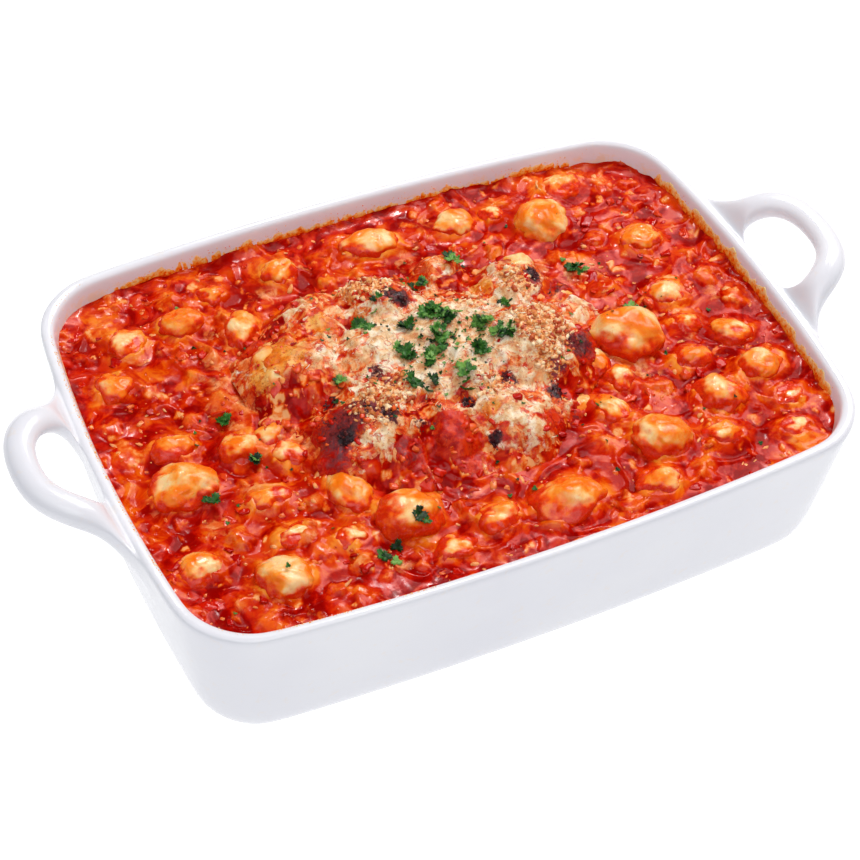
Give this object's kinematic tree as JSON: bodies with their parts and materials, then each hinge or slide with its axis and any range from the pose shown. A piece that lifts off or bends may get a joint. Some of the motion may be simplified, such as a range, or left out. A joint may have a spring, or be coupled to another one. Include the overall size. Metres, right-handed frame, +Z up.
{
  "type": "baked potato gnocchi in an oven dish",
  "caption": "Potato gnocchi baked in chunky tomato sauce under a browned cheese heap with parsley, in a white rectangular ceramic dish with two raised loop handles",
  "frame": {"origin": "middle of the dish's flat foot, on the surface it stands on", "axes": "+X along the dish towards one handle, +Y across the dish, +Z up"},
  "size_m": [0.382, 0.2278, 0.0954],
  "materials": {
    "white_glaze": "glossy white glaze",
    "tomato_sauce": "wet and glossy",
    "gnocchi_dough": "moist, smooth",
    "melted_cheese": "melted, browned in spots"
  },
  "bodies": {
    "root": {"dish": "white_glaze", "gnocchi_heap": "tomato_sauce", "gnocco_back_1": "gnocchi_dough", "gnocco_back_2": "gnocchi_dough", "gnocco_back_3": "gnocchi_dough", "gnocco_back_4": "gnocchi_dough", "gnocco_back_5": "gnocchi_dough", "gnocco_back_6": "gnocchi_dough", "gnocco_back_7": "gnocchi_dough", "gnocco_back_8": "gnocchi_dough", "gnocco_back_9": "gnocchi_dough", "gnocco_front_1": "gnocchi_dough", "gnocco_front_10": "gnocchi_dough", "gnocco_front_11": "gnocchi_dough", "gnocco_front_2": "gnocchi_dough", "gnocco_front_3": "gnocchi_dough", "gnocco_front_4": "gnocchi_dough", "gnocco_front_5": "gnocchi_dough", "gnocco_front_6": "gnocchi_dough", "gnocco_front_7": "gnocchi_dough", "gnocco_front_8": "gnocchi_dough", "gnocco_front_9": "gnocchi_dough", "gnocco_left_1": "gnocchi_dough", "gnocco_left_2": "gnocchi_dough", "gnocco_left_3": "gnocchi_dough", "gnocco_left_4": "gnocchi_dough", "gnocco_left_5": "gnocchi_dough", "gnocco_left_6": "gnocchi_dough", "gnocco_left_7": "gnocchi_dough", "gnocco_left_8": "gnocchi_dough", "gnocco_right_1": "gnocchi_dough", "gnocco_right_10": "gnocchi_dough", "gnocco_right_11": "gnocchi_dough", "gnocco_right_12": "gnocchi_dough", "gnocco_right_2": "gnocchi_dough", "gnocco_right_3": "gnocchi_dough", "gnocco_right_4": "gnocchi_dough", "gnocco_right_5": "gnocchi_dough", "gnocco_right_6": "gnocchi_dough", "gnocco_right_7": "gnocchi_dough", "gnocco_right_8": "gnocchi_dough", "gnocco_right_9": "gnocchi_dough", "melted_cheese": "melted_cheese", "sauce": "tomato_sauce"}
  },
  "joints": []
}
